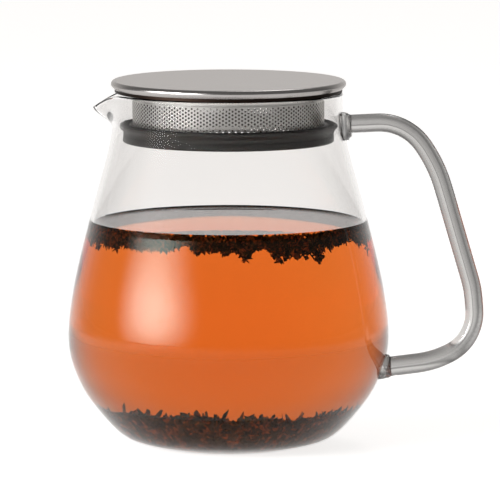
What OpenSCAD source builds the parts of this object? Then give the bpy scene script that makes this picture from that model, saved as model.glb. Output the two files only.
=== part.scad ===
// Glass teapot with a steel lid that carries a strainer and a silicone gasket.
// +Z is up, the foot stands on Z = 0, the handle points to +X and the spout to -X.

/* [Glass] */
// Thickness of the blown glass wall
glass_wall = 1.6; // [1.4:0.1:2]
// Height of the glass rim
rim_height = 122.7; // [122:0.1:123.4]

/* [Spout] */
// Distance of the spout's tip from the pot's axis
spout_reach = 47.2; // [45:0.1:49]
// Height of the lowest point of the pouring lip
spout_tip_height = 117.4; // [116:0.1:118.5]
// Radius of the rounded tip of the beak
spout_tip_r = 2.2; // [2:0.1:2.8]
// Half of the angle over which the beak leaves the neck
spout_half_angle = 21; // [16:1:26]

/* [Handle] */
// Diameter of the glass rod
rod_d = 6.6; // [6:0.1:7.4]
// Radius of the glass pad on the neck
upper_pad_r = 4.8; // [4.2:0.1:5.4]
// Radius of the glass pad on the belly
lower_pad_r = 4.3; // [4.1:0.1:5]

/* [Lid] */
// Radius of the steel cap, over its rolled rim
cap_r = 40.5; // [40:0.1:42]
// Height of the steel cap, from its lower edge to its top
cap_height = 2.8; // [2.6:0.1:3.4]
// Radius of the base plate under the cap
base_r = 39.2; // [38.8:0.1:39.4]
// Thickness of the steel sheet of cap and base plate
sheet = 0.6; // [0.5:0.1:0.8]

/* [Strainer] */
// Outer radius of the perforated band
band_r = 33; // [32:0.1:33.4]
// Thickness of the perforated band
band_wall = 0.4; // [0.3:0.05:0.5]
// Height of the band's plain lower edge, where the hem begins
band_foot = 107.3; // [107:0.1:107.6]
// Height of the lower edge of the plain collar
collar_foot = 120.6; // [119:0.1:121]
// Number of spot welds that hold the collar
weld_count = 8; // [6:1:12]

/* [Gasket] */
// Radius of the wiper lip that touches the neck
lip_r = 37.5; // [37:0.1:37.5]
// Outer radius of the gasket's ring body
gasket_r = 36.3; // [35.6:0.1:36.6]
// Height of the gasket's lower face
gasket_foot = 105.5; // [105.2:0.1:105.6]
// Height of the tip of the wiper lip and of the sleeve
gasket_top = 111.8; // [111:0.1:112.4]

/* [Hidden] */
$fn = 96;

// Stations [radius, height] of the glass from the flat foot to the top of the neck
glass_stations = [[22, 0], [26.2, 0.6], [36.1, 3.8], [44.5, 12], [51.5, 22.5], [55.3, 36],
    [53.4, 55.5], [47.2, 81.5], [41.1, 104.3], [39.6, 116], [39.35, rim_height - glass_wall / 2]];
// Curve points between two stations
station_steps = 5;

// Height of the handle's pads, and how far each one stands out from the pot's axis
upper_pad_z = 111.2;
upper_pad_x = 42.2;
lower_pad_z = 28;
lower_pad_x = 56;
// Each pad has a narrower collar where the rod melts into it
pad_collar_step = 0.9;
pad_collar_ratio = 0.9;
// Depth of the pad blanks inside the pot's outline, before they are cut to it
pad_root = 8;

// Corners [distance from axis, height] of the handle's centre line, and the bend at each one
handle_corners = [[41, 112], [61.6, 113.2], [72.1, 98], [84.6, 55.6], [85.9, 37.8], [70.9, 30.3],
    [53, 27.8]];
handle_bends = [0, 18, 48, 32, 16, 33, 0];
// Sides of the rod, and the largest turn between two of its rings
rod_sides = 20;
rod_bend_step = 8;

// Gap left between the lid and the glass rim that it rests on
rest_gap = 0.02;
// Running clearance between the strainer and the gasket
turn_gap = 0.05;

base_foot = rim_height + rest_gap;
cap_foot = base_foot + 1.2;
cap_top = cap_foot + cap_height;
// Radius of the rolled rim of the cap, seen in section
cap_roll = cap_height / 2;
flange_thick = 0.5;
collar_wall = 0.5;
flange_inner_r = band_r - 4;
hem_foot = 106.1;
hem_r = band_r + 0.75;
weld_r = 1.5;
weld_height = 0.25;
lip_wall = 0.8;

// One point of a smooth curve through b and c, whose neighbours are a and d
function curve_point(a, b, c, d, t) =
    (2 * b + (c - a) * t + (2 * a - 5 * b + 4 * c - d) * t * t
        + (3 * b - a - 3 * c + d) * t * t * t) / 2;

// A smooth curve through all the points
function curve(p, steps) = [
    for (i = [0 : len(p) - 2], k = [0 : steps - 1])
        curve_point(p[max(i - 1, 0)], p[i], p[i + 1], p[min(i + 2, len(p) - 1)], k / steps),
    p[len(p) - 1]
];

// The points moved to their left by the distance d
function inset(p, d) = [
    for (i = [0 : len(p) - 1])
        let (ahead = p[min(i + 1, len(p) - 1)] - p[max(i - 1, 0)])
        p[i] + d * [-ahead[1], ahead[0]] / norm(ahead)
];

function reversed(p) = [for (i = [len(p) - 1 : -1 : 0]) p[i]];

// Points of an arc round centre c, from angle a0 to a1
function arc(c, r, a0, a1, steps) =
    [for (k = [0 : steps]) c + r * [cos(a0 + (a1 - a0) * k / steps), sin(a0 + (a1 - a0) * k / steps)]];

glass_outline = curve(glass_stations, station_steps);
glass_lining = inset(glass_outline, glass_wall);

// Solid of the pot's outer shape, with no hollow
module glass_blank() {
    rotate_extrude()
        polygon(concat([[0, 0]], glass_outline, [[0, rim_height - glass_wall / 2]]));
}

module glass_shell() {
    neck_r = glass_stations[len(glass_stations) - 1][0];
    rim_centre = [neck_r - glass_wall / 2, rim_height - glass_wall / 2];
    rotate_extrude()
        polygon(concat([[0, 0]], glass_outline, arc(rim_centre, glass_wall / 2, 15, 165, 6),
            reversed(glass_lining), [[0, glass_wall]]));
}

// Beak made of balls of radius r: one at the tip and three where it leaves the neck
module beak(r, lift) {
    root_r = glass_stations[len(glass_stations) - 1][0] - spout_tip_r;
    tip_x = spout_reach - spout_tip_r;
    hull()
        for (up = [0, lift]) {
            translate([-tip_x, 0, spout_tip_height + up]) sphere(r, $fn = 24);
            translate([-root_r, 0, 110.6 + up]) sphere(r, $fn = 24);
            for (side = [-1, 1])
                rotate([0, 0, side * spout_half_angle])
                    translate([-root_r, 0, 120 + up]) sphere(r, $fn = 24);
        }
}

// Everything above the sloping edge of the beak
module above_pouring_edge() {
    neck_r = glass_stations[len(glass_stations) - 1][0];
    slope = atan2(rim_height - 0.6 - spout_tip_height, spout_reach - neck_r);
    translate([-spout_reach, 0, spout_tip_height])
        rotate([0, -slope, 0])
            translate([-20, -30, 0]) cube([60, 60, 30]);
}

module glass_body() {
    color([0.87, 0.88, 0.87, 0.35])
        difference() {
            union() {
                glass_shell();
                difference() {
                    beak(spout_tip_r, 0);
                    above_pouring_edge();
                    translate([0, 0, 100]) cylinder(h = 30, r = 38.4);
                }
            }
            beak(spout_tip_r - 1.4, 12);
        }
}

// Direction of the handle's straight from corner i to the next one, as an angle in its plane
function leg_angle(i) =
    let (leg = handle_corners[i + 1] - handle_corners[i])
    atan2(leg[1], leg[0]);

// Stations [distance from axis, height, direction] round the bend at corner i
function bend_stations(i) =
    let (r = handle_bends[i],
        a = leg_angle(i - 1),
        turn = leg_angle(i) - a,
        start = handle_corners[i] - r * tan(abs(turn) / 2) * [cos(a), sin(a)],
        centre = start + r * [sin(a), -cos(a)],
        steps = ceil(abs(turn) / rod_bend_step))
    [for (k = [0 : steps])
        let (b = a + turn * k / steps)
        concat(centre + r * [-sin(b), cos(b)], b)];

// Round rod swept along the handle's centre line
module bent_rod() {
    last = len(handle_corners) - 1;
    stations = concat(
        [concat(handle_corners[0], leg_angle(0))],
        [for (i = [1 : last - 1]) each bend_stations(i)],
        [concat(handle_corners[last], leg_angle(last - 1))]);
    rings = len(stations);
    n = rod_sides;
    polyhedron(
        points = [for (s = stations, k = [0 : n - 1])
            let (across = rod_d / 2 * cos(360 * k / n), side = rod_d / 2 * sin(360 * k / n))
            [s[0] - across * sin(s[2]), side, s[1] + across * cos(s[2])]],
        faces = concat(
            [[for (k = [0 : n - 1]) k]],
            [[for (k = [n - 1 : -1 : 0]) (rings - 1) * n + k]],
            [for (j = [0 : rings - 2], k = [0 : n - 1])
                [j * n + (k + 1) % n, j * n + k, (j + 1) * n + k]],
            [for (j = [0 : rings - 2], k = [0 : n - 1])
                [j * n + (k + 1) % n, (j + 1) * n + k, (j + 1) * n + (k + 1) % n]]));
}

module pad_blank(x, z, r) {
    translate([x, 0, z])
        rotate([0, -90, 0]) {
            cylinder(h = pad_root, r = r * pad_collar_ratio);
            translate([0, 0, pad_collar_step]) cylinder(h = pad_root, r = r);
        }
}

module upper_pad_blank() {
    pad_blank(upper_pad_x, upper_pad_z, upper_pad_r);
}

module lower_pad_blank() {
    pad_blank(lower_pad_x, lower_pad_z, lower_pad_r);
}

module handle_rod() {
    color([0.80, 0.80, 0.79, 0.5])
        difference() {
            bent_rod();
            upper_pad_blank();
            lower_pad_blank();
        }
}

module upper_handle_weld() {
    color([0.72, 0.72, 0.71, 0.5])
        difference() {
            upper_pad_blank();
            glass_blank();
        }
}

module lower_handle_weld() {
    color([0.72, 0.72, 0.71, 0.5])
        difference() {
            lower_pad_blank();
            glass_blank();
        }
}

// Grooved ring with a thin sleeve on the strainer and a wiper lip against the neck
module gasket() {
    bore_r = band_r + turn_gap;
    groove_r = hem_r + turn_gap;
    groove_foot = hem_foot - turn_gap;
    groove_top = band_foot + turn_gap;
    keeper_r = band_r;
    heel = 1;
    sleeve_r = band_r + 1.1;
    notch_z = gasket_foot + 2.3;
    valley_z = gasket_foot + 3.7;
    color([0.30, 0.29, 0.28])
        rotate_extrude()
            polygon(concat(
                [[keeper_r, gasket_foot]],
                arc([gasket_r - heel, gasket_foot + heel], heel, -90, 0, 4),
                [[gasket_r, notch_z], [gasket_r - 0.3, notch_z + 0.3]],
                [[lip_r, gasket_top - 0.4], [lip_r - 0.2, gasket_top]],
                [[lip_r - lip_wall, gasket_top], [gasket_r - 1.1, valley_z]],
                [[sleeve_r, valley_z], [sleeve_r, gasket_top], [bore_r, gasket_top]],
                [[bore_r, groove_top], [groove_r, groove_top]],
                [[groove_r, groove_foot], [keeper_r, groove_foot]]));
}

module lid_cover() {
    roll_centre = [cap_r - cap_roll, cap_top - cap_roll];
    edge_r = cap_r - 0.7;
    outside = concat([[0, cap_top]], arc(roll_centre, cap_roll, 90, -15, 8), [[edge_r, cap_foot]]);
    inside = concat([[edge_r - sheet, cap_foot]], arc(roll_centre, cap_roll - sheet, -15, 90, 8),
        [[0, cap_top - sheet]]);
    color([0.75, 0.73, 0.72])
        rotate_extrude()
            polygon(concat(outside, inside));
}

module lid_base_plate() {
    color([0.45, 0.43, 0.41])
        rotate_extrude()
            polygon([[0, base_foot], [base_r, base_foot], [base_r, cap_foot],
                [base_r - sheet, cap_foot], [base_r - sheet, base_foot + sheet],
                [0, base_foot + sheet]]);
}

module strainer_collar() {
    color([0.66, 0.65, 0.64])
        rotate_extrude()
            polygon([[flange_inner_r, base_foot - flange_thick], [band_r, base_foot - flange_thick],
                [band_r, collar_foot], [band_r + collar_wall, collar_foot],
                [band_r + collar_wall, base_foot], [flange_inner_r, base_foot]]);
}

module strainer_band() {
    color([0.70, 0.69, 0.67])
        translate([0, 0, band_foot])
            difference() {
                height = base_foot - flange_thick - band_foot;
                cylinder(h = height, r = band_r);
                translate([0, 0, -1]) cylinder(h = height + 2, r = band_r - band_wall);
            }
}

module strainer_hem() {
    corner = 0.3;
    inner_r = band_r - band_wall;
    color([0.70, 0.69, 0.67])
        rotate_extrude()
            polygon([[inner_r, hem_foot], [hem_r - corner, hem_foot], [hem_r, hem_foot + corner],
                [hem_r, band_foot], [inner_r, band_foot]]);
}

module spot_welds() {
    color([0.55, 0.53, 0.51])
        for (k = [0 : weld_count - 1])
            rotate([0, 0, 360 * k / weld_count])
                translate([flange_inner_r + weld_r + 0.3, 0, base_foot - flange_thick - weld_height])
                    cylinder(h = weld_height, r = weld_r, $fn = 32);
}

glass_body();
handle_rod();
upper_handle_weld();
lower_handle_weld();
gasket();
lid_cover();
lid_base_plate();
strainer_collar();
strainer_band();
strainer_hem();
spot_welds();
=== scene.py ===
# %% [markdown]
# # A glass teapot with a strainer lid
# The CAD model already says where everything is and how it moves. This notebook gives each piece its
# real surface: blown glass, a bent glass rod, satin steel, fine strainer holes, grey silicone, and the
# tea with its wet leaves. The first cell loads the imported model as a fixed frame.

# %% The frame
import math

import bmesh
import bpy
import numpy as np
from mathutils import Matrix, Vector


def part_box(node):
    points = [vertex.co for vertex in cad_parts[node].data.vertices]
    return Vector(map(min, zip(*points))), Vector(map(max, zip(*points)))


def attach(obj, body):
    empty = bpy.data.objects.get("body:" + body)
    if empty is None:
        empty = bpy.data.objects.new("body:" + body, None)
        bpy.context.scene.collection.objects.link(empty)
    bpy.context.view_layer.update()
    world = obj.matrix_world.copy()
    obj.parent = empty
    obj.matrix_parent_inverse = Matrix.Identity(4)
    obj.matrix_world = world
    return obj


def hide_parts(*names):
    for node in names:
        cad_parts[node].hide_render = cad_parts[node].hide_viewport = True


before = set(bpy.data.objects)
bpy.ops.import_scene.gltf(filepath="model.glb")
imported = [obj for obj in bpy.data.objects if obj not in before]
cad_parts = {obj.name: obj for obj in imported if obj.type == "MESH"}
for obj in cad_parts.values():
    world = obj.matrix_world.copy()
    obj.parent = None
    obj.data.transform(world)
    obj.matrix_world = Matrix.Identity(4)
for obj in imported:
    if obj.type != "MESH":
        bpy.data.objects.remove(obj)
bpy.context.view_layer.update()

MM = 0.001
scene = bpy.context.scene
print("CAD nodes:", sorted(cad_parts))

# %% [markdown]
# ## The camera
# A long lens far away keeps the pot's sides nearly parallel, the way a catalogue picture is taken. The
# camera stands a little above the table and a little to the handle's side. It looks at a point beside
# the pot's axis, because the handle makes the object wider on that side.

# %% The camera
VIEW_AZIMUTH = math.radians(7.0)
VIEW_ELEVATION = math.radians(6.44)
VIEW_DISTANCE = 2.6
LENS = 543.0
AXIS_POINT = Vector((0, 0, 80 * MM))
AIM_RIGHT = 7.4 * MM
AIM_DOWN = 12.1 * MM

to_camera = Vector((
    math.sin(VIEW_AZIMUTH) * math.cos(VIEW_ELEVATION),
    -math.cos(VIEW_AZIMUTH) * math.cos(VIEW_ELEVATION),
    math.sin(VIEW_ELEVATION),
))
view_right = Vector((math.cos(VIEW_AZIMUTH), math.sin(VIEW_AZIMUTH), 0))
view_up = to_camera.cross(view_right)
aim = AXIS_POINT + view_right * AIM_RIGHT - view_up * AIM_DOWN

camera = bpy.data.objects.new("camera", bpy.data.cameras.new("camera"))
scene.collection.objects.link(camera)
camera.location = AXIS_POINT + to_camera * VIEW_DISTANCE
camera.rotation_euler = (camera.location - aim).to_track_quat("Z", "Y").to_euler()
camera.data.lens = LENS
camera.data.clip_start = 0.1
camera.data.clip_end = 30
scene.camera = camera
print("camera at", [round(c, 3) for c in camera.location])

# %% [markdown]
# ## Light for glass
# Clear glass shows only what it bends and mirrors. In an even white room it would vanish, so the room
# is bright low down behind the pot and falls off upwards, to the sides and to the front: the edges of
# the glass and the rod pick up the darker parts as grey lines. The colour view is plain, so white
# stays white. Glass in front of liquid in glass takes many bounces of light, so the limits are raised.

# %% The room
scene.view_settings.view_transform = "Standard"
scene.cycles.max_bounces = 32
scene.cycles.transmission_bounces = 32
scene.cycles.glossy_bounces = 12

GLOW_BEHIND = 0.98
ROOM_ABOVE = 0.34
ROOM_FRONT = 0.2
GLOW_FROM = 0.35
GLOW_FULL = 0.95
DIM_FROM = 0.12
DIM_FULL = 0.62
PALE_TONE = (1.0, 0.985, 0.97, 1)


def node(tree, kind, inputs=None, **settings):
    """A new shader node, with its settings and the values or links of its inputs."""
    made = tree.nodes.new(kind)
    for key, value in settings.items():
        setattr(made, key, value)
    for key, value in (inputs or {}).items():
        if isinstance(value, bpy.types.NodeSocket):
            tree.links.new(value, made.inputs[key])
        else:
            made.inputs[key].default_value = value
    return made


def soft_map(tree, value, low, high, at_low, at_high):
    """A value mapped from low..high to at_low..at_high along a soft S."""
    made = node(tree, "ShaderNodeMapRange", {
        "Value": value, "From Min": low, "From Max": high, "To Min": at_low, "To Max": at_high,
    }, interpolation_type="SMOOTHSTEP")
    return made.outputs["Result"]


def facing_camera_axes(tree, vector):
    """X, Y and Z of a vector, turned so that Y points straight away from the viewer."""
    turned_round = node(tree, "ShaderNodeVectorRotate", {"Vector": vector, "Angle": -VIEW_AZIMUTH},
                        rotation_type="Z_AXIS")
    return node(tree, "ShaderNodeSeparateXYZ", {0: turned_round.outputs[0]}).outputs


room = bpy.data.worlds.new("studio_room")
scene.world = room
room.use_nodes = True
tree = room.node_tree
tree.nodes.clear()
place = node(tree, "ShaderNodeTexCoord")
axes = facing_camera_axes(tree, place.outputs["Generated"])
behind = soft_map(tree, axes["Z"], DIM_FROM, DIM_FULL, GLOW_BEHIND, ROOM_ABOVE)
strength = node(tree, "ShaderNodeMix", {
    "Factor": soft_map(tree, axes["Y"], GLOW_FROM, GLOW_FULL, 0, 1), "A": ROOM_FRONT, "B": behind,
}, data_type="FLOAT")
air = node(tree, "ShaderNodeBackground", {
    "Color": PALE_TONE, "Strength": strength.outputs["Result"],
})
node(tree, "ShaderNodeOutputWorld", {"Surface": air.outputs[0]})
print("room brightness", ROOM_FRONT, "to", GLOW_BEHIND)

# %% [markdown]
# The floor is a wide pale sheet that glows by itself like a light table. It glows in a disc round the
# pot and in a wide fan behind it, with the same directions as the room, so floor and room meet
# without a line. To the sides and in front it falls off to a soft grey.

# %% The floor
FLOOR_RADIUS = 9.0
TABLE_GLOW = 0.83
SIDE_GLOW = 0.08
DISC_RADIUS = 0.36
SOFT_EDGE = 0.5


def new_material(name):
    """An empty node material and its tree."""
    material = bpy.data.materials.new(name)
    material.use_nodes = True
    material.node_tree.nodes.clear()
    return material, material.node_tree


def principled(name, **inputs):
    """A material with one Principled shader, whose inputs are given by name with _ for a space."""
    material, tree = new_material(name)
    shader = node(tree, "ShaderNodeBsdfPrincipled",
                  {key.replace("_", " "): value for key, value in inputs.items()})
    node(tree, "ShaderNodeOutputMaterial", {"Surface": shader.outputs[0]})
    return material, tree, shader


floor_mesh = bpy.data.meshes.new("floor")
floor_form = bmesh.new()
bmesh.ops.create_circle(floor_form, cap_ends=True, radius=FLOOR_RADIUS, segments=64)
floor_form.to_mesh(floor_mesh)
floor_form.free()
floor = bpy.data.objects.new("floor", floor_mesh)
scene.collection.objects.link(floor)
paper, tree, paper_shader = principled(
    "white_paper", Base_Color=(0.5, 0.5, 0.5, 1), Roughness=0.9, Emission_Color=PALE_TONE,
)
place = node(tree, "ShaderNodeTexCoord")
axes = facing_camera_axes(tree, place.outputs["Object"])
reach = node(tree, "ShaderNodeVectorMath", {0: place.outputs["Object"]}, operation="LENGTH")
cosine = node(tree, "ShaderNodeMath", {0: axes["Y"], 1: reach.outputs["Value"]}, operation="DIVIDE")
fan = soft_map(tree, cosine.outputs[0], GLOW_FROM, GLOW_FULL, 0, 1)
disc = soft_map(tree, reach.outputs["Value"], DISC_RADIUS, DISC_RADIUS + SOFT_EDGE, 1, 0)
lit = node(tree, "ShaderNodeMath", {0: fan, 1: disc}, operation="MAXIMUM")
glow = soft_map(tree, lit.outputs[0], 0, 1, SIDE_GLOW, TABLE_GLOW)
tree.links.new(glow, paper_shader.inputs["Emission Strength"])
floor_mesh.materials.append(paper)
print("floor radius", FLOOR_RADIUS, "m")

# %% [markdown]
# One wide softbox stands at the front left on the floor. Its reflection is the long soft highlight on
# the belly and the bright stretch on the lid's rim. It is brightest low down in its middle and fades
# to all sides like a real diffuser. A weaker one hangs above and behind. Neither is seen through the
# glass, so no sharp patch of light swims in the tea.

# %% The softboxes
FADE_POWER = 1.7
KEY_AZIMUTH = VIEW_AZIMUTH - math.radians(55)
TOP_AZIMUTH = math.radians(170)


def softbox(name, azimuth, distance, height, width, tall, watts, hot_spot):
    """An area light that looks at the pot; hot_spot is its brightest height, as a share."""
    light = bpy.data.lights.new(name, "AREA")
    light.shape = "RECTANGLE"
    light.size = width
    light.size_y = tall
    light.energy = watts
    light.use_nodes = True
    tree = light.node_tree
    tree.nodes.clear()
    spot = node(tree, "ShaderNodeNewGeometry")
    centred = node(tree, "ShaderNodeVectorMath", {
        0: spot.outputs["Parametric"], 1: (0.5, hot_spot, 0),
    }, operation="SUBTRACT")
    scaled = node(tree, "ShaderNodeVectorMath", {
        0: centred.outputs[0], 1: (2, 1 / max(hot_spot, 1 - hot_spot), 0),
    }, operation="MULTIPLY")
    away = node(tree, "ShaderNodeVectorMath", {0: scaled.outputs[0]}, operation="LENGTH")
    fade = soft_map(tree, away.outputs["Value"], 0, 1, 1, 0)
    glow = node(tree, "ShaderNodeMath", {0: fade, 1: FADE_POWER}, operation="POWER")
    lamp = node(tree, "ShaderNodeEmission", {"Strength": glow.outputs[0]})
    node(tree, "ShaderNodeOutputLight", {"Surface": lamp.outputs[0]})
    made = bpy.data.objects.new(name, light)
    scene.collection.objects.link(made)
    made.location = (math.sin(azimuth) * distance, -math.cos(azimuth) * distance, height)
    made.rotation_euler = (-math.atan2(height - AXIS_POINT.z, distance) + math.pi / 2, 0, azimuth)
    made.visible_camera = False
    made.visible_transmission = False
    return made


key = softbox("key_softbox", KEY_AZIMUTH, distance=0.9, height=0.31, width=1.55, tall=0.62,
              watts=82, hot_spot=0.33)
top = softbox("top_softbox", TOP_AZIMUTH, distance=0.9, height=1.3, width=1.0, tall=1.0,
              watts=20, hot_spot=0.5)
print("softboxes:", key.name, top.name)

# %% [markdown]
# ## Helpers for turned shapes
# Nearly every piece here was made by turning: blown glass, spun steel, moulded silicone. So one helper
# revolves a section about the pot's axis, and another makes a mesh object with its faces turned
# outwards.

# %% Mesh helpers


def add_piece(name, points, faces, body, material, stands_for=(), smooth=True):
    """A mesh piece that rides on a CAD body, with outward faces."""
    mesh = bpy.data.meshes.new(name)
    mesh.from_pydata([tuple(p) for p in points], [], [tuple(f) for f in faces])
    form = bmesh.new()
    form.from_mesh(mesh)
    bmesh.ops.recalc_face_normals(form, faces=form.faces)
    form.to_mesh(mesh)
    form.free()
    mesh.polygons.foreach_set("use_smooth", [smooth] * len(mesh.polygons))
    mesh.materials.append(material)
    piece = bpy.data.objects.new(name, mesh)
    scene.collection.objects.link(piece)
    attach(piece, body)
    if stands_for:
        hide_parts(*stands_for)
    print(f"{name}: {len(mesh.vertices)} points, {len(mesh.polygons)} faces")
    return piece


def turned(section, angles, closed=False):
    """Points and faces of a section of (radius, height) revolved about Z.

    An end of the section that lies on the axis becomes one point. closed joins its two ends.
    """
    points, rows = [], []
    for radius, height in section:
        if radius < 1e-7:
            rows.append([len(points)] * len(angles))
            points.append((0.0, 0.0, height))
        else:
            rows.append(list(range(len(points), len(points) + len(angles))))
            points += [(radius * math.cos(a), radius * math.sin(a), height) for a in angles]
    pairs = list(zip(rows, rows[1:]))
    if closed:
        pairs.append((rows[-1], rows[0]))
    faces = []
    for low, high in pairs:
        for i in range(len(angles)):
            j = (i + 1) % len(angles)
            corners = [low[i], low[j], high[j], high[i]]
            unique = list(dict.fromkeys(corners))
            if len(unique) > 2:
                faces.append(unique)
    return points, faces


def even_angles(count):
    """Angles of count equal steps round the axis."""
    return [2 * math.pi * k / count for k in range(count)]


def smooth_curve(stations, steps):
    """A smooth curve through all the stations, with steps points between two of them."""
    p = np.array(stations, float)
    p = np.vstack([p[0], p, p[-1]])
    made = []
    for a, b, c, d in zip(p, p[1:], p[2:], p[3:]):
        for t in np.arange(steps) / steps:
            made.append((2 * b + (c - a) * t + (2 * a - 5 * b + 4 * c - d) * t**2
                         + (3 * b - a - 3 * c + d) * t**3) / 2)
    return np.array(made + [p[-1]])


def moved_sideways(curve, distance):
    """A curve's points moved to its left; distance is one number or one for each point."""
    ahead = np.gradient(curve, axis=0)
    left = np.stack([-ahead[:, 1], ahead[:, 0]], axis=1)
    left /= np.linalg.norm(left, axis=1)[:, None]
    return curve + left * np.reshape(distance, (-1, 1))


def arc(centre, radius, start, end, steps):
    """Points of a circular arc in a section; angles are in degrees."""
    turn = np.radians(np.linspace(start, end, steps))
    return np.stack([centre[0] + radius * np.cos(turn), centre[1] + radius * np.sin(turn)], axis=1)


def smooth_step(t):
    """0 below 0, 1 above 1, and a soft S between."""
    t = np.clip(t, 0, 1)
    return t * t * (3 - 2 * t)


print("helpers ready")

# %% [markdown]
# ## Clear glass
# Borosilicate glass bends light with an index near 1.47 and has almost no colour. Everything else
# about its look comes from the shape and from what stands round it, so most shaders stay simple. The
# lining below the tea gets a finish of its own: there glass meets liquid and not air, so it hardly
# mirrors. Above the tea and round the foot the mirroring is kept low as well, lower than real glass,
# so that the strainer and the leaves behind it stay clear, and there the glass is a little darker as
# painted shade. The rod is thick and bends light hard. In a room with a darker floor its upper and
# outer half would look grey and its inner half bright. This floor is bright, so painted shade, a ramp
# of greys by the direction of the surface, stands in for it.

# %% Glass finishes
GLASS_INDEX = 1.47
CLEAR = {"Roughness": 0.0, "IOR": GLASS_INDEX, "Transmission_Weight": 1.0}
NO_MIRROR = (0, 0, 0, 1)
blown_glass, _, _ = principled(
    "blown_glass", Base_Color=(0.925, 0.918, 0.912, 1), Specular_Tint=(0.37, 0.42, 0.37, 1), **CLEAR)
# A little darker than the blown glass: painted shade that dims what is seen through the foot and the
# neck.
shade_dimmed_glass, _, _ = principled(
    "shade_dimmed_glass", Base_Color=(0.895, 0.886, 0.879, 1), Specular_Tint=NO_MIRROR, **CLEAR)
wetted_glass, _, _ = principled(
    "wetted_glass", Base_Color=(0.925, 0.918, 0.912, 1), Specular_Tint=NO_MIRROR, **CLEAR)
pad_glass, _, _ = principled("pad_glass", Base_Color=(0.90, 0.893, 0.885, 1), **CLEAR)
rod_glass, rod_tree, rod_shader = principled("rod_glass", **CLEAR)
print("glass index", GLASS_INDEX)

# %% The painted shade of the rod
ROD_PAINTED_SHADE_SIDE = (0.85, 0, 0.53)
ROD_PAINTED_SHADES = ((0.44, 1.0), (0.475, 0.16), (0.51, 0.42), (0.72, 0.20), (0.90, 0.09), (0.97, 0.28))

# Painted shade: the rod's colour is a ramp of greys by the direction of its surface, greyer on its upper
# and outer side.
rod_surface = node(rod_tree, "ShaderNodeNewGeometry")
upper_side = node(rod_tree, "ShaderNodeVectorMath", {
    0: rod_surface.outputs["Normal"], 1: ROD_PAINTED_SHADE_SIDE,
}, operation="DOT_PRODUCT")
half_way = node(rod_tree, "ShaderNodeMapRange", {
    "Value": upper_side.outputs["Value"], "From Min": -1.0, "From Max": 1.0,
})
rod_painted_shade_ramp = node(rod_tree, "ShaderNodeValToRGB", {0: half_way.outputs["Result"]})
rod_painted_shade_ramp.color_ramp.interpolation = "EASE"
for place_on_ramp, grey in ROD_PAINTED_SHADES:
    tone = rod_painted_shade_ramp.color_ramp.elements.new(place_on_ramp)
    tone.color = (grey, grey * 0.985, grey * 0.965, 1)
rod_painted_shade_ramp.color_ramp.elements[0].color = (0.97, 0.96, 0.95, 1)
rod_painted_shade_ramp.color_ramp.elements[-1].color = (0.75, 0.74, 0.73, 1)
rod_tree.links.new(rod_painted_shade_ramp.outputs[0], rod_shader.inputs["Base Color"])
print("rod greys:", len(ROD_PAINTED_SHADES), "steps")

# %% [markdown]
# ## The blown body
# The body is blown into a mould, so it is round all the way up from the flat foot. Its outline is a
# smooth curve through a few stations, and the lining is that curve moved inwards by the wall, which
# is a bit thicker at the foot where glass gathers. The rim is melted round.

# %% The outline of the body
RIM_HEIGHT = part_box("glass_body")[1].z
GLASS_WALL = 1.6 * MM
FOOT_EXTRA = 0.8 * MM
BODY_STATIONS = np.array([
    (22, 0), (26.2, 0.6), (36.1, 3.8), (44.5, 12), (51.5, 22.5), (55.3, 36), (53.4, 55.5),
    (47.2, 81.5), (41.1, 104.3), (39.6, 116),
]) * MM
NECK_RADIUS = 39.35 * MM
rim_middle = (NECK_RADIUS - GLASS_WALL / 2, RIM_HEIGHT - GLASS_WALL / 2)

outer_curve = smooth_curve(np.vstack([BODY_STATIONS, (NECK_RADIUS, rim_middle[1])]), 10)
gather = FOOT_EXTRA * (1 - smooth_step(outer_curve[:, 0] / (48 * MM)))
lining = moved_sideways(outer_curve, GLASS_WALL + gather)
rim_bead = arc(rim_middle, GLASS_WALL / 2, 12, 168, 9)
floor_top = lining[0][1]
section = np.vstack([(0, 0), outer_curve, rim_bead, lining[::-1], (0, floor_top)])
lining_rising = lining[np.argsort(lining[:, 1])]


def lining_radius(height):
    """Radius of the inside of the glass at a height."""
    return np.interp(height, lining_rising[:, 1], lining_rising[:, 0])


print("widest radius", round(outer_curve[:, 0].max() / MM, 2), "mm")

# %% [markdown]
# ## The spout
# A glass worker heats the rim at one place and pulls it out and down with a rod. The pull is strongest
# at the tip and dies away quickly to both sides and down the neck, so the spout is a smooth function of
# the angle and the height that bends the turned wall. Wall and lining bend together, which keeps the
# wall's thickness.

# %% The body with its spout
SPOUT_PULL = 7.75 * MM
SPOUT_FOOT = 107.5 * MM
SPOUT_DROP = 0.36
SPOUT_SPREAD = 9.0
SPOUT_ROUND = 3.2

fine = np.linspace(-32, 32, 97)[:-1]
coarse = np.linspace(32, 328, 119)[:-1]
from_spout = np.concatenate([fine, coarse])


def spout_share(angle):
    """How much of the pull reaches an angle from the spout, in degrees."""
    off = np.abs((angle + 180) % 360 - 180)
    return np.exp(-(np.sqrt(off**2 + SPOUT_ROUND**2) - SPOUT_ROUND) / SPOUT_SPREAD)


body_points, body_faces = turned(section, np.radians(from_spout + 180))
body_points = np.array(body_points)
angle = np.degrees(np.arctan2(body_points[:, 1], body_points[:, 0])) + 180
share = spout_share(angle)
lift = (body_points[:, 2] - SPOUT_FOOT) / (RIM_HEIGHT - SPOUT_FOOT)
pull = SPOUT_PULL * share * smooth_step((lift - 0.2) / 0.8)
radius = np.hypot(body_points[:, 0], body_points[:, 1])
grown = np.where(radius > 1e-6, (radius + pull) / np.maximum(radius, 1e-6), 1)
body_points[:, 0] *= grown
body_points[:, 1] *= grown
body_points[:, 2] -= SPOUT_DROP * share * np.clip(body_points[:, 2] - SPOUT_FOOT, 0, None)
pot_glass = add_piece("pot_glass", body_points, body_faces, "pot", blown_glass,
                      ["glass_body"])
print("spout tip reaches", round(-body_points[:, 0].min() / MM, 1), "mm")
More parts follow.
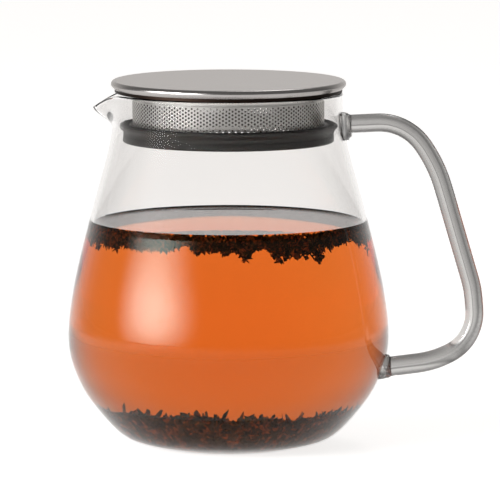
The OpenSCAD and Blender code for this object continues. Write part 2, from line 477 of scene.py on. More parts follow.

# %% [markdown]
# The body has three finishes of glass. A face belongs to the lining when it lies nearer to the axis
# than the middle of the wall. Lining below the tea is wetted, and the glass above the tea and round
# the foot is the dimmed one, a little darker as painted shade.

# %% The finishes of the body
TEA_HEIGHT = 77.4 * MM
DIM_BELOW = 15 * MM
WETTED = 1
SHADE_DIMMED = 2
pot_glass.data.materials.append(wetted_glass)
pot_glass.data.materials.append(shade_dimmed_glass)
for face in pot_glass.data.polygons:
    height = face.center.z
    inside = math.hypot(*face.center.xy) < lining_radius(height) + GLASS_WALL / 2
    if inside and floor_top / 2 < height < TEA_HEIGHT:
        face.material_index = WETTED
    # Above the tea and round the foot the glass is darker: painted shade.
    elif height > TEA_HEIGHT or height < DIM_BELOW:
        face.material_index = SHADE_DIMMED
print("tea stands", round(TEA_HEIGHT / MM, 1), "mm high")

# %% [markdown]
# ## The handle
# The handle is a solid glass rod, bent over a flame. Its centre line is a row of corners with a bend at
# each, the same as in the CAD. A section swept along that line would do for a factory rod, but a hand
# bent one is a bit thicker where it was pushed together, low down, so the radius changes slowly.

# %% The centre line of the rod
HANDLE_CORNERS = np.array([
    (41, 112), (61.6, 113.2), (72.1, 98), (84.6, 55.6), (85.9, 37.8), (70.9, 30.3), (53, 27.8),
]) * MM
HANDLE_BENDS = np.array([18, 48, 32, 16, 33]) * MM
BEND_STEP = math.radians(4)
LINE_STEP = 1.6 * MM


def rounded_path(corners, bends):
    """Points along a line of corners, with an arc of the given radius at each inner corner."""
    path = [corners[0]]
    for before, corner, after, bend in zip(corners, corners[1:], corners[2:], bends):
        come = (corner - before) / np.linalg.norm(corner - before)
        go = (after - corner) / np.linalg.norm(after - corner)
        turn = math.acos(np.clip(come @ go, -1, 1))
        start = corner - come * bend * math.tan(turn / 2)
        centre = start + bend * np.array([come[1], -come[0]])
        first = math.atan2(-centre[1] + start[1], start[0] - centre[0])
        for k in range(int(turn / BEND_STEP) + 2):
            a = first - turn * k / (int(turn / BEND_STEP) + 1)
            path.append(centre + bend * np.array([math.cos(a), math.sin(a)]))
    path.append(corners[-1])
    return np.array(path)


def resampled(path, step):
    """The same line with points at equal steps."""
    length = np.concatenate([[0], np.cumsum(np.linalg.norm(np.diff(path, axis=0), axis=1))])
    at = np.linspace(0, length[-1], int(length[-1] / step) + 1)
    return np.stack([np.interp(at, length, path[:, 0]), np.interp(at, length, path[:, 1])], axis=1)


rod_line = resampled(rounded_path(HANDLE_CORNERS, HANDLE_BENDS), LINE_STEP)
rod_length = LINE_STEP * (len(rod_line) - 1)
print("rod line of", len(rod_line), "points, about", round(rod_length / MM), "mm")

# %% The rod
ROD_RADIUS = (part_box("handle_rod")[1].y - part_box("handle_rod")[0].y) / 2
ROD_SIDES = 32
ROD_SWELL = 0.25 * MM

along = np.linspace(0, 1, len(rod_line))
rod_radius = ROD_RADIUS - 0.12 * MM + ROD_SWELL * smooth_step((along - 0.72) / 0.2)
heading = np.gradient(rod_line, axis=0)
heading /= np.linalg.norm(heading, axis=1)[:, None]
rod_points, rod_faces = [], []
for (x, z), (dx, dz), r in zip(rod_line, heading, rod_radius):
    for a in even_angles(ROD_SIDES):
        across = r * math.cos(a)
        rod_points.append((x - across * dz, r * math.sin(a), z + across * dx))
for j in range(len(rod_line) - 1):
    for k in range(ROD_SIDES):
        low, high = j * ROD_SIDES, (j + 1) * ROD_SIDES
        n = (k + 1) % ROD_SIDES
        rod_faces.append((low + k, low + n, high + n, high + k))
rod_faces.append(tuple(range(ROD_SIDES)))
rod_faces.append(tuple(range(len(rod_points) - ROD_SIDES, len(rod_points))))
add_piece("glass_handle", rod_points, rod_faces, "pot", rod_glass, ["handle_rod"])

# %% [markdown]
# Where the rod meets the pot, the hot glass is pressed into a round pad with a lip, and the rod grows
# out of it. Each pad is turned about the rod's direction and its root follows the curved wall. The
# root sinks into the wall, because the real glass is one melt there. A ring of a pad is given by its
# share of the pad's radius, its share of the way from the wall to the face, and its stand-off in mm.

# %% The weld pads
PAD_SIDES = 48
PAD_SUNK = 0.4 * MM
PAD_RINGS = (
    (1.00, 0.0, -0.7), (1.02, 0.0, 0.2), (1.00, 0.1, 0.7), (0.95, 0.3, 0.9), (0.90, 0.55, 0.6),
    (0.88, 0.8, 0.3), (0.885, 0.93, 0.15), (0.86, 1.0, 0.1), (0.80, 1.0, 0.5), (0.74, 1.0, 0.9),
)


def wall_distance(y, z):
    """Distance of the body's outside from the YZ plane."""
    rising = outer_curve[np.argsort(outer_curve[:, 1])]
    return math.sqrt(max(np.interp(z, rising[:, 1], rising[:, 0]) ** 2 - y * y, 0))


def weld_pad(name, height, radius, face, cad_node):
    """A pressed glass pad on the wall: its rings go from the wall out to the rod."""
    points, faces = [], []
    for share, plane, stand in PAD_RINGS:
        for a in even_angles(PAD_SIDES):
            y = radius * share * math.cos(a)
            z = height + radius * share * math.sin(a)
            x = (1 - plane) * wall_distance(y, z) + plane * (face - PAD_SUNK) + stand * MM
            points.append((x, y, z))
    for low in range(0, len(points) - PAD_SIDES, PAD_SIDES):
        for k in range(PAD_SIDES):
            n = (k + 1) % PAD_SIDES
            faces.append((low + k, low + n, low + PAD_SIDES + n, low + PAD_SIDES + k))
    faces.append(tuple(range(PAD_SIDES)))
    faces.append(tuple(range(len(points) - PAD_SIDES, len(points))))
    return add_piece(name, points, faces, "pot", pad_glass, [cad_node])


for name, cad_node in (("upper_pad", "upper_handle_weld"), ("lower_pad", "lower_handle_weld")):
    low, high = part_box(cad_node)
    weld_pad(name, (low.z + high.z) / 2, (high.y - low.y) / 2, high.x, cad_node)

# %% [markdown]
# ## Tea
# The liquid touches the glass, with no air between. In a ray tracer the liquid's skin has to lie a hair
# inside the glass wall: with a gap of air the edges would turn to mirrors. The tea's colour comes half
# from its surface and half from the length of the light's path through it, so the thin edges are
# lighter than the middle but still tea. At the wall the surface climbs into a small meniscus.

# %% The tea
TEA_OVERLAP = 0.12 * MM
MENISCUS = 0.9 * MM
MENISCUS_REACH = 1.6 * MM

tea, tea_tree, _ = principled(
    "tea", Base_Color=(0.79, 0.345, 0.10, 1), Roughness=0.0, IOR=1.33, Transmission_Weight=1.0,
    Specular_Tint=(0, 0, 0, 1),
)
soak = node(tea_tree, "ShaderNodeVolumeAbsorption", {
    "Color": (0.985, 0.53, 0.05, 1), "Density": 18.0,
})
tea_tree.links.new(soak.outputs[0], tea_tree.nodes["Material Output"].inputs["Volume"])

wet = lining[lining[:, 1] < TEA_HEIGHT + MENISCUS]
wet = moved_sideways(wet, -TEA_OVERLAP)
edge = lining_radius(TEA_HEIGHT + MENISCUS) + TEA_OVERLAP
inward = np.linspace(0, 7, 15)[1:] * MM
climb = np.stack([edge - inward, TEA_HEIGHT + MENISCUS * np.exp(-inward / MENISCUS_REACH)], axis=1)
tea_section = np.vstack([
    (0, wet[0][1]), wet, (edge, TEA_HEIGHT + MENISCUS), climb,
    [(r * MM, TEA_HEIGHT) for r in (32, 22, 12)], (0, TEA_HEIGHT),
])
tea_points, tea_faces = turned(tea_section, even_angles(144))
add_piece("tea", tea_points, tea_faces, "pot", tea)

# %% [markdown]
# ## Leaves
# Wet tea leaves are small torn strips, twisted and curled, no two alike. Each one is a short strip of
# faces that bends, twists and tapers by its own random amounts. Thousands of them are made at once with
# arrays, then given a little thickness. Some hang under the surface in a ring along the glass, and the
# rest lie in a bed on the bottom.

# %% Leaf strips
rng = np.random.default_rng(41)
STRIP_STEPS = 5
STRIP_SIDES = 3
TAPER = 1.7
TWIST = 1.6
BEND = 0.45
CURL = 0.7


def leaf_strips(places, normals, lengths, widths, upright=0.0):
    """Points and faces of one curled strip at each place, lying across its normal."""
    count = len(places)
    spin = rng.uniform(0, 2 * math.pi, count)
    helper = np.where(np.abs(normals[:, 2:3]) < 0.9, [[0, 0, 1.0]], [[1.0, 0, 0]])
    side = np.cross(normals, helper)
    side /= np.linalg.norm(side, axis=1)[:, None]
    other = np.cross(normals, side)
    way = side * np.cos(spin)[:, None] + other * np.sin(spin)[:, None]
    way = way * (1 - upright) + np.array([0, 0, -1.0]) * upright
    way /= np.linalg.norm(way, axis=1)[:, None]
    across = np.cross(normals, way)
    across /= np.linalg.norm(across, axis=1)[:, None]
    off = np.cross(way, across)
    t = np.linspace(-0.5, 0.5, STRIP_STEPS)[None, :, None]
    s = np.linspace(-0.5, 0.5, STRIP_SIDES)[None, None, :]
    one = np.ones((count, STRIP_STEPS, STRIP_SIDES))
    spread = rng.uniform(0.75, 1.25, (count, STRIP_STEPS, 1))
    taper = (1 - TAPER * t**2) * spread
    twist = rng.normal(0, TWIST, (count, 1, 1)) * t + rng.normal(0, 0.35, (count, 1, 1))
    bend = rng.normal(0, BEND, (count, 1, 1))
    curl = rng.normal(0, CURL, (count, 1, 1))
    length, width = lengths[:, None, None], widths[:, None, None]
    u = length * t * one + rng.normal(0, 0.05, one.shape) * length
    v = width * s * taper * np.cos(twist) + bend * length * (t**2) * 0.8
    w = width * s * taper * np.sin(twist) + curl * width * (s**2 - 0.1) + bend * length * t**2
    points = (places[:, None, None, :] + u[..., None] * way[:, None, None, :]
              + v[..., None] * across[:, None, None, :] + w[..., None] * off[:, None, None, :])
    base = np.arange(count)[:, None] * STRIP_STEPS * STRIP_SIDES
    cells = [(i * STRIP_SIDES + k, i * STRIP_SIDES + k + 1,
              (i + 1) * STRIP_SIDES + k + 1, (i + 1) * STRIP_SIDES + k)
             for i in range(STRIP_STEPS - 1) for k in range(STRIP_SIDES - 1)]
    faces = (base[:, :, None] + np.array(cells)[None]).reshape(-1, 4)
    return points.reshape(-1, 3), faces


def held_inside(points, gap):
    """Points pulled inwards so that none comes nearer to the glass than gap."""
    flat = np.hypot(points[:, 0], points[:, 1])
    limit = lining_radius(points[:, 2]) - gap
    shrink = np.minimum(1, limit / np.maximum(flat, 1e-9))
    points[:, :2] *= shrink[:, None]
    points[:, 2] = np.maximum(points[:, 2], floor_top + gap)
    return points


def toned(piece, per_strip):
    """Gives each strip of a piece its own tone from 0 to 1, as an attribute."""
    tone = piece.data.attributes.new("leaf_tone", "FLOAT", "POINT")
    count = len(piece.data.vertices) // per_strip
    tone.data.foreach_set("value", np.repeat(rng.uniform(0, 1, count), per_strip))


print("strip of", STRIP_STEPS, "by", STRIP_SIDES, "points")

# %% [markdown]
# A soaked leaf is nearly black where it is folded and red-brown where light comes through it. The tone
# of each strip is a stored attribute, and fine noise breaks it up along the veins.

# %% The leaf finish
leaf, leaf_tree, leaf_shader = principled(
    "wet_leaf", Roughness=0.42, Coat_Weight=0.25, Coat_Roughness=0.2,
)
own_tone = node(leaf_tree, "ShaderNodeAttribute", attribute_name="leaf_tone")
leaf_place = node(leaf_tree, "ShaderNodeTexCoord")
veins = node(leaf_tree, "ShaderNodeTexNoise", {
    "Vector": leaf_place.outputs["Object"], "Scale": 900.0, "Detail": 4.0, "Roughness": 0.6,
})
shade = node(leaf_tree, "ShaderNodeMath", {0: veins.outputs["Fac"], 1: own_tone.outputs["Fac"]},
             operation="MULTIPLY")
browns = node(leaf_tree, "ShaderNodeValToRGB", {0: shade.outputs[0]})
browns.color_ramp.elements[0].color = (0.012, 0.009, 0.007, 1)
browns.color_ramp.elements[1].color = (0.50, 0.16, 0.085, 1)
browns.color_ramp.elements[1].position = 0.56
middle = browns.color_ramp.elements.new(0.3)
middle.color = (0.060, 0.035, 0.024, 1)
leaf_bump = node(leaf_tree, "ShaderNodeBump", {
    "Height": veins.outputs["Fac"], "Strength": 0.6, "Distance": 0.0003,
})
leaf_tree.links.new(browns.outputs[0], leaf_shader.inputs["Base Color"])
leaf_tree.links.new(leaf_bump.outputs[0], leaf_shader.inputs["Normal"])
print("leaf finish ready")

# %% [markdown]
# The floating ring hangs a few millimetres deep, like a ragged fringe. Its depth round the pot is a sum
# of waves with some clumps that hang lower, and most strips lie close to the glass.

# %% The floating ring
FRINGE_COUNT = 5200
FRINGE_DEPTH = 4.1 * MM
CLUMP_COUNT = 40
CLUMP_WIDTH = 0.03


def fringe_depth(angle):
    """Depth of the fringe at an angle, with waves and low clumps."""
    waves = sum(0.11 * np.sin(n * angle + p) for n, p in zip((5, 9, 14, 23), (0.4, 2.1, 4.4, 1.3)))
    deep = np.zeros_like(angle)
    for centre, size in zip(clump_angles, clump_sizes):
        off = (angle - centre + math.pi) % (2 * math.pi) - math.pi
        deep = np.maximum(deep, size * np.exp(-(off / CLUMP_WIDTH) ** 2))
    return FRINGE_DEPTH * (1 + waves + deep)


clump_angles = rng.uniform(0, 2 * math.pi, CLUMP_COUNT)
clump_sizes = rng.uniform(0.1, 1.1, CLUMP_COUNT)
ring_angle = rng.uniform(0, 2 * math.pi, FRINGE_COUNT)
ring_drop = rng.uniform(0, 1, FRINGE_COUNT) ** 0.85 * fringe_depth(ring_angle)
ring_height = TEA_HEIGHT - 0.1 * MM - ring_drop
ring_radius = lining_radius(ring_height) - rng.gamma(1.2, 0.6, FRINGE_COUNT) * MM - 0.3 * MM
ring_places = np.stack([ring_radius * np.cos(ring_angle), ring_radius * np.sin(ring_angle),
                        ring_height], axis=1)
ring_normals = np.stack([np.cos(ring_angle), np.sin(ring_angle), np.zeros(FRINGE_COUNT)], axis=1)
ring_normals += rng.normal(0, 0.35, ring_normals.shape)
ring_normals /= np.linalg.norm(ring_normals, axis=1)[:, None]
ring_points, ring_faces = leaf_strips(
    ring_places, ring_normals, rng.uniform(1.6, 4.2, FRINGE_COUNT) * MM,
    rng.uniform(0.5, 1.5, FRINGE_COUNT) * MM, upright=0.25)
ring_points = held_inside(ring_points, 0.15 * MM)
ring_points[:, 2] = np.minimum(ring_points[:, 2], TEA_HEIGHT - 0.05 * MM)
floating = add_piece("floating_leaves", ring_points, ring_faces, "pot", leaf)
toned(floating, STRIP_STEPS * STRIP_SIDES)

# %% [markdown]
# The bed on the bottom is a shallow dish of leaves: low in the middle and higher against the glass. A
# dark lumpy core fills it, strips cover its top and its side, and a few twigs stand up out of it.

# %% The core of the bed
BED_MIDDLE = 10.5 * MM
BED_EDGE = 15.0 * MM


def bed_height(radius, angle):
    """Height of the top of the bed."""
    dish = BED_MIDDLE + (BED_EDGE - BED_MIDDLE) * smooth_step(radius / (44 * MM))
    lumps = np.sin(angle * 3 + 1) * 0.9 + np.sin(angle * 11 + radius / MM * 0.2) * 0.8
    return dish + lumps * MM * smooth_step(radius / (20 * MM))


bed_angles = np.array(even_angles(120))
side_heights = np.linspace(floor_top + 0.3 * MM, BED_EDGE - 0.5 * MM, 9)
bed_section = [(0, side_heights[0])]
bed_section += [(lining_radius(h) - 0.7 * MM, h) for h in side_heights]
top_radii = np.linspace(0.985, 0, 16) * (lining_radius(BED_EDGE) - 0.7 * MM)
bed_section += [(r, 0.0) for r in top_radii]
bed_points, bed_faces = turned(bed_section, bed_angles)
bed_points = np.array(bed_points)
first_top = 1 + len(side_heights) * len(bed_angles)
top_part = bed_points[first_top:]
top_radius = np.hypot(top_part[:, 0], top_part[:, 1])
top_part[:, 2] = bed_height(top_radius, np.arctan2(top_part[:, 1], top_part[:, 0]))
top_part[:, 2] += rng.normal(0, 0.25, len(top_part)) * MM
bed_core = add_piece("leaf_bed", held_inside(bed_points, 0.5 * MM), bed_faces, "pot", leaf)
toned(bed_core, 1)

# %% The strips of the bed
WALL_STRIPS = 2300
TOP_STRIPS = 1500
TWIGS = 220
BED_REACH = 43 * MM


def strips_on_bed(count, radius, height_at, normal, length, width, upright=0.0):
    """Strips at random angles round the bed; height_at gives heights for radii and angles."""
    angle = rng.uniform(0, 2 * math.pi, count)
    places = np.stack([radius * np.cos(angle), radius * np.sin(angle), height_at(radius, angle)],
                      axis=1)
    out = np.stack([np.cos(angle) * normal[0], np.sin(angle) * normal[0],
                    np.full(count, normal[1])], axis=1)
    out += rng.normal(0, 0.4, out.shape)
    out /= np.linalg.norm(out, axis=1)[:, None]
    return leaf_strips(places, out, rng.uniform(*length, count) * MM,
                       rng.uniform(*width, count) * MM, upright)


wall_level = rng.uniform(0, 1, WALL_STRIPS)
wall_heights = floor_top + (BED_EDGE + 0.5 * MM - floor_top) * wall_level
parts = [
    strips_on_bed(WALL_STRIPS, lining_radius(wall_heights) - 0.6 * MM,
                  lambda r, a: wall_heights, (0.75, -0.65), (2.0, 4.6), (1.2, 2.9)),
    strips_on_bed(TOP_STRIPS, np.sqrt(rng.uniform(0, 1, TOP_STRIPS)) * BED_REACH,
                  lambda r, a: bed_height(r, a) + 0.3 * MM, (0, 1), (2.2, 5.0), (1.1, 2.7)),
    strips_on_bed(TWIGS, np.sqrt(rng.uniform(0.1, 1, TWIGS)) * BED_REACH,
                  lambda r, a: bed_height(r, a) + 1.0 * MM, (1, 0.2), (3.0, 7.5), (0.9, 2.2),
                  upright=0.6),
]
all_points = np.vstack([points for points, _ in parts])
starts = np.cumsum([0] + [len(points) for points, _ in parts[:-1]])
all_faces = np.vstack([faces + start for (_, faces), start in zip(parts, starts)])
settled = add_piece("settled_leaves", held_inside(all_points, 0.15 * MM), all_faces, "pot", leaf)
toned(settled, STRIP_STEPS * STRIP_SIDES)

for leaves in (floating, settled):
    thick = leaves.modifiers.new("leaf thickness", "SOLIDIFY")
    thick.thickness = 0.12 * MM
    thick.offset = 0
print("leaf strips:", FRINGE_COUNT + WALL_STRIPS + TOP_STRIPS + TWIGS)

# %% [markdown]
# ## Steel
# The lid's top is blasted to an even satin, and its rolled rim is polished. Both are one spun cap, so
# one material serves: its roughness falls where the radius passes the edge of the flat, and there its
# colour is darkened as painted shade. A very fine noise in the roughness and the bump gives the satin
# its grain. The strainer's inside is duller than its outside, as it is never polished, and its colour
# is darker as painted shade, since it gets little light, so its holes read as dark dots.

# %% Steel finishes
# Share of the satin colour left on the polished rim: painted shade.
RIM_PAINTED_SHADE = 0.62


def steel(name, colour, roughness, grain, polished_from=None, polish=0.12):
    """Stainless steel with a fine grain; beyond the radius polished_from it is smoother and its colour
    is darker, a painted shade.
    """
    material, tree, shader = principled(name, Base_Color=(*colour, 1), Metallic=1.0,
                                        Specular_Tint=(0.75, 0.74, 0.73, 1))
    place = node(tree, "ShaderNodeTexCoord")
    fine = node(tree, "ShaderNodeTexNoise", {
        "Vector": place.outputs["Object"], "Scale": grain, "Detail": 5.0, "Roughness": 0.7,
    })
    satin = node(tree, "ShaderNodeMapRange", {
        "Value": fine.outputs["Fac"], "From Min": 0.3, "From Max": 0.7,
        "To Min": roughness * 0.85, "To Max": roughness * 1.15,
    })
    rough = satin.outputs["Result"]
    if polished_from:
        axes = node(tree, "ShaderNodeSeparateXYZ", {0: place.outputs["Object"]})
        flat = node(tree, "ShaderNodeCombineXYZ", {0: axes.outputs["X"], 1: axes.outputs["Y"]})
        from_axis = node(tree, "ShaderNodeVectorMath", {0: flat.outputs[0]}, operation="LENGTH")
        edge = node(tree, "ShaderNodeMapRange", {
            "Value": from_axis.outputs["Value"], "From Min": polished_from,
            "From Max": polished_from + 0.5 * MM, "To Min": 0.0, "To Max": 1.0,
        })
        mixed = node(tree, "ShaderNodeMix", {
            "Factor": edge.outputs["Result"], "A": rough, "B": polish,
        }, data_type="FLOAT")
        rough = mixed.outputs["Result"]
        # Painted shade: the polished rim's colour is darker than the satin top.
        rim_painted_tone = tuple(part * RIM_PAINTED_SHADE for part in colour)
        tone = node(tree, "ShaderNodeMix", {
            "Factor": edge.outputs["Result"], 6: (*colour, 1), 7: (*rim_painted_tone, 1),
        }, data_type="RGBA")
        tree.links.new(tone.outputs[2], shader.inputs["Base Color"])
    bump = node(tree, "ShaderNodeBump", {
        "Height": fine.outputs["Fac"], "Strength": 0.12, "Distance": 0.00005,
    })
    tree.links.new(rough, shader.inputs["Roughness"])
    tree.links.new(bump.outputs[0], shader.inputs["Normal"])
    return material


cap_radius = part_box("lid_cover")[1].x
cap_steel = steel("cap_steel", (0.63, 0.60, 0.585), 0.34, 2600, cap_radius - 1.6 * MM, 0.22)
# Near black plate: painted shade for the gap between the cap and the glass.
plate_painted_shade_steel = steel("plate_painted_shade_steel", (0.014, 0.009, 0.007), 0.45, 1800)
band_steel = steel("band_steel", (0.80, 0.79, 0.77), 0.36, 2200)
# Dark inside of the strainer: painted shade, as it gets little light.
inner_painted_shade_steel = steel("inner_painted_shade_steel", (0.16, 0.15, 0.14), 0.45, 2200)
print("cap radius", round(cap_radius / MM, 1), "mm")

# %% [markdown]
# ## The lid
# The cap is pressed from thin sheet. The flat runs out to a tight turn, the rim rolls over and tucks
# in under itself. In the section the roll is an arc that meets the flat without a step, followed by a
# slanting flank down to the folded edge that grips the base plate.

# %% The cap
CAP_SHEET = 0.6 * MM
cap_low, cap_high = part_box("lid_cover")
ROLL = 1.25 * MM
flank_foot = (cap_radius - 1.0 * MM, cap_low.z)
roll_middle = (cap_radius - ROLL, cap_high.z - ROLL)
outside = np.vstack([
    [(0, cap_high.z)], [(r * MM, cap_high.z) for r in (10, 20, 30, 36)],
    [(roll_middle[0] - 0.8 * MM, cap_high.z)],
    arc(roll_middle, ROLL, 90, -32, 15), [flank_foot],
])
fold = [(flank_foot[0] - 0.25 * MM, cap_low.z), (flank_foot[0] - CAP_SHEET, cap_low.z)]
inside = np.vstack([
    arc(roll_middle, ROLL - CAP_SHEET, -32, 90, 12),
    [(r * MM, cap_high.z - CAP_SHEET) for r in (36, 20)], [(0, cap_high.z - CAP_SHEET)],
])
cap_points, cap_faces = turned(np.vstack([outside, fold, inside]), even_angles(192))
cap = add_piece("lid_cap", cap_points, cap_faces, "lid", cap_steel, ["lid_cover"])

# %% [markdown]
# The base plate is a shallow pan under the cap, and its edge is the dark line between the cap and the
# glass: its steel is painted near black, as painted shade. The collar is an angled ring: its flange is
# spot welded to the plate and its sleeve holds the strainer. The weld nuggets keep their CAD shape, and
# only get the plate's near black steel with its painted shade.

# %% The base plate and the collar
plate_low, plate_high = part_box("lid_base_plate")
plate_radius = plate_high.x
BEVEL = 0.15 * MM
plate_section = [
    (0, plate_low.z), (plate_radius - BEVEL, plate_low.z), (plate_radius, plate_low.z + BEVEL),
    (plate_radius, plate_high.z), (plate_radius - CAP_SHEET, plate_high.z),
    (plate_radius - CAP_SHEET, plate_low.z + CAP_SHEET), (0, plate_low.z + CAP_SHEET),
]
plate_points, plate_faces = turned(plate_section, even_angles(160))
add_piece("lid_base", plate_points, plate_faces, "lid", plate_painted_shade_steel,
          ["lid_base_plate"], smooth=False)

collar_low, collar_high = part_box("strainer_collar")
band_low, band_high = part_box("strainer_band")
band_radius = band_high.x
flange_inner = band_radius - 4 * MM
flange_low = band_high.z
collar_section = [
    (flange_inner, collar_high.z), (flange_inner, flange_low), (band_radius, flange_low),
    (band_radius, collar_low.z), (collar_high.x - BEVEL, collar_low.z),
    (collar_high.x, collar_low.z + BEVEL), (collar_high.x, collar_high.z),
]
collar_points, collar_faces = turned(collar_section, even_angles(160), closed=True)
add_piece("collar_ring", collar_points, collar_faces, "lid", band_steel,
          ["strainer_collar"], smooth=False)
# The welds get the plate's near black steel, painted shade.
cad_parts["spot_welds"].data.materials.clear()
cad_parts["spot_welds"].data.materials.append(plate_painted_shade_steel)

# %% [markdown]
# ## The strainer
# The band is etched sheet: round holes in a staggered pattern, about 0.75 mm across. A boolean with
# thousands of cylinders is slow and fragile. Instead the band is built hole by hole: each hole sits in a
# small brick of the sheet, neighbouring columns are shifted by half a brick, and the bricks share
# their corners. Four layers of points, two rims and two faces, give the sheet its thickness.

# %% The perforated band
HOLE_COLUMNS = 192
HOLE_PITCH = 1.29 * MM
HOLE_RADIUS = 0.37 * MM
BAND_WALL = 0.4 * MM
HOLE_SIDES = 16

brick_half = math.pi * band_radius / HOLE_COLUMNS
hole_top = collar_low.z - 0.25 * MM
half_rows = int((hole_top - band_low.z) / (HOLE_PITCH / 2))
points, faces, known = [], [], {}


def band_point(column_half, height, radius):
    """Index of the point at a position along the band, made once."""
    key = (round(column_half * 1000) % (HOLE_COLUMNS * 2000), round(height * 1e8), radius)
    if key not in known:
        a = column_half * brick_half / band_radius
        known[key] = len(points)
        points.append((radius * math.cos(a), radius * math.sin(a), height))
    return known[key]


def brick(column, low):
    """One brick of the sheet on both faces, with its hole's wall."""
    mid = low + HOLE_PITCH / 2
    high = low + HOLE_PITCH
    left, centre, right = 2 * column - 1, 2 * column, 2 * column + 1
    edge = [(right, mid), (right, high), (centre, high), (left, high), (left, mid), (left, low),
            (centre, low), (right, low)]
    step = HOLE_SIDES // len(edge)
    layers = []
    for layer in (band_radius, band_radius - BAND_WALL):
        rim = [band_point(c, z, layer) for c, z in edge]
        hole = []
        for a in even_angles(HOLE_SIDES):
            c = centre + HOLE_RADIUS * math.cos(a) / brick_half
            hole.append(band_point(c, mid + HOLE_RADIUS * math.sin(a), layer))
        for k in range(len(edge)):
            inner = [hole[(k * step + s) % HOLE_SIDES] for s in range(step + 1)]
            faces.append([rim[k], rim[(k + 1) % len(edge)]] + inner[::-1])
        layers.append(hole)
    outer, inner = layers
    for k in range(HOLE_SIDES):
        n = (k + 1) % HOLE_SIDES
        faces.append([outer[k], outer[n], inner[n], inner[k]])


pattern_foot = hole_top - half_rows * HOLE_PITCH / 2
rows_of = [half_rows // 2, (half_rows - 1) // 2]
for column in range(HOLE_COLUMNS):
    shift = column % 2
    for row in range(rows_of[shift]):
        brick(column, pattern_foot + (2 * row + shift) * HOLE_PITCH / 2)
print("holes:", HOLE_COLUMNS // 2 * sum(rows_of))

# %% The plain edges of the band


def close_edge(level, target, upwards):
    """Joins the ragged edge of the pattern to a plain circle, on both faces of the sheet.

    level holds where the bricks of an even and of an odd column end.
    """
    for layer in (band_radius, band_radius - BAND_WALL):
        for column in range(HOLE_COLUMNS):
            own = level[column % 2]
            near = level[(column + 1) % 2]
            left, centre, right = 2 * column - 1, 2 * column, 2 * column + 1
            loop = [(left, target), (centre, target), (right, target)]
            deeper = near > own if upwards else near < own
            if deeper:
                loop.append((right, near))
            loop += [(right, own), (centre, own), (left, own)]
            if deeper:
                loop.append((left, near))
            faces.append([band_point(c, z, layer) for c, z in loop])


foot_level = [pattern_foot + shift * HOLE_PITCH / 2 for shift in (0, 1)]
head_level = [foot_level[shift] + rows_of[shift] * HOLE_PITCH for shift in (0, 1)]
close_edge(foot_level, band_low.z, False)
close_edge(head_level, band_high.z, True)
for height in (band_low.z, band_high.z):
    for c in range(2 * HOLE_COLUMNS):
        corners = ((c, band_radius), (c + 1, band_radius), (c + 1, band_radius - BAND_WALL),
                   (c, band_radius - BAND_WALL))
        faces.append([band_point(at, height, layer) for at, layer in corners])
strainer = add_piece("perforated_band", points, faces, "lid", band_steel,
                     ["strainer_band"], smooth=False)

# %% The inside of the band
OUTER_SKIN = 0.1 * MM
INSIDE = 1
# The inner faces and hole walls take the dark steel: painted shade.
strainer.data.materials.append(inner_painted_shade_steel)
for face in strainer.data.polygons:
    if math.hypot(*face.center.xy) < band_radius - OUTER_SKIN:
        face.material_index = INSIDE
print("band radius", round(band_radius / MM, 1), "mm")

# %% [markdown]
# The band's lower edge is folded into a hem that hooks into the gasket. It keeps its CAD place inside
# the silicone, and gets the strainer's steel.

# %% The hem
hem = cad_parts["strainer_hem"]
hem.data.materials.clear()
hem.data.materials.append(band_steel)

# %% [markdown]
# ## The gasket
# The silicone ring is moulded: a sleeve that holds the strainer, and a soft lip that sweeps outwards
# and up to the glass like a cup. Grey silicone is dull with a very soft sheen, and a little light gets
# into its surface. The section is drawn once round, with rounded corners from a smooth curve.

# %% The silicone ring
silicone, silicone_tree, silicone_shader = principled(
    "grey_silicone", Roughness=0.48, Sheen_Weight=0.15, Sheen_Roughness=0.5,
    Subsurface_Weight=0.1, Subsurface_Scale=0.0012,
)
silicone_place = node(silicone_tree, "ShaderNodeTexCoord")
dust = node(silicone_tree, "ShaderNodeTexNoise", {
    "Vector": silicone_place.outputs["Object"], "Scale": 1400.0, "Detail": 3.0,
})
grey = node(silicone_tree, "ShaderNodeValToRGB", {0: dust.outputs["Fac"]})
grey.color_ramp.elements[0].color = (0.045, 0.043, 0.040, 1)
grey.color_ramp.elements[1].color = (0.075, 0.072, 0.067, 1)
silicone_bump = node(silicone_tree, "ShaderNodeBump", {
    "Height": dust.outputs["Fac"], "Strength": 0.15, "Distance": 0.0001,
})
silicone_tree.links.new(grey.outputs[0], silicone_shader.inputs["Base Color"])
silicone_tree.links.new(silicone_bump.outputs[0], silicone_shader.inputs["Normal"])

seal_low, seal_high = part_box("gasket")
print("gasket", round(seal_high.x / MM, 2), "mm radius,", round(seal_low.z / MM, 2), "to",
      round(seal_high.z / MM, 2), "mm high")

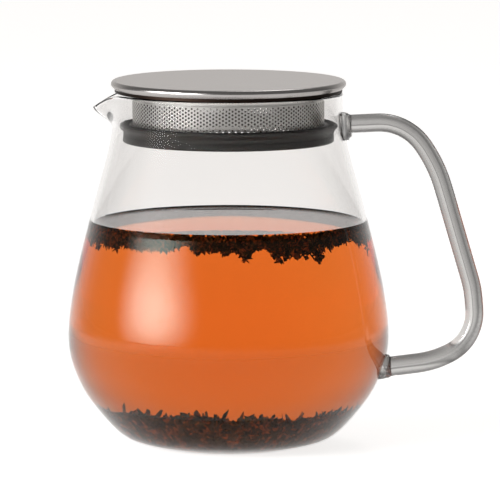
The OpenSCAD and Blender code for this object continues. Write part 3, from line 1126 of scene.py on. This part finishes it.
# %% The gasket's section
RUN_GAP = 0.05 * MM
HEEL = 0.9 * MM
LIP_WALL = 0.75 * MM

hem_low, hem_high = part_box("strainer_hem")
ring_radius = seal_high.x - 1.2 * MM
ring_top = seal_low.z + 2.3 * MM
valley = seal_low.z + 3.7 * MM
tip = seal_high.z
sleeve_radius = band_radius + 1.1 * MM
lip_outside = smooth_curve(np.array([
    (ring_radius, ring_top), (ring_radius - 0.12 * MM, ring_top + 0.5 * MM),
    (ring_radius + 0.1 * MM, ring_top + 1.6 * MM), (seal_high.x - 0.25 * MM, tip - 1.2 * MM),
    (seal_high.x, tip - 0.4 * MM),
]), 5)
lip_inside = smooth_curve(np.array([
    (seal_high.x - LIP_WALL, tip), (seal_high.x - LIP_WALL - 0.5 * MM, tip - 1.5 * MM),
    (ring_radius - 1.0 * MM, valley + 0.5 * MM), (sleeve_radius + 0.5 * MM, valley),
    (sleeve_radius, valley + 0.5 * MM),
]), 5)
gasket_section = np.vstack([
    (band_radius, seal_low.z), arc((ring_radius - HEEL, seal_low.z + HEEL), HEEL, -90, 0, 8),
    lip_outside, arc((seal_high.x - 0.35 * MM, tip - 0.35 * MM), 0.35 * MM, 10, 90, 5),
    lip_inside, (sleeve_radius, tip - 0.2 * MM), (sleeve_radius - 0.2 * MM, tip),
    (band_radius + RUN_GAP, tip), (band_radius + RUN_GAP, band_low.z + RUN_GAP),
    (hem_high.x + RUN_GAP, band_low.z + RUN_GAP), (hem_high.x + RUN_GAP, hem_low.z - RUN_GAP),
    (band_radius, hem_low.z - RUN_GAP),
])
gasket_points, gasket_faces = turned(gasket_section, even_angles(160), closed=True)
gasket = add_piece("silicone_gasket", gasket_points, gasket_faces, "seal", silicone,
                   ["gasket"])

# %% [markdown]
# The mesh pieces with sharp folds need split normals there, so that flat faces stay flat and round
# ones look round.

# %% Sharp folds
FOLD_ANGLE = math.radians(40)
for piece in (cap, gasket, strainer):
    piece.data.set_sharp_from_angle(angle=FOLD_ANGLE)
    print(piece.name, "folds sharper than", round(math.degrees(FOLD_ANGLE)), "degrees")
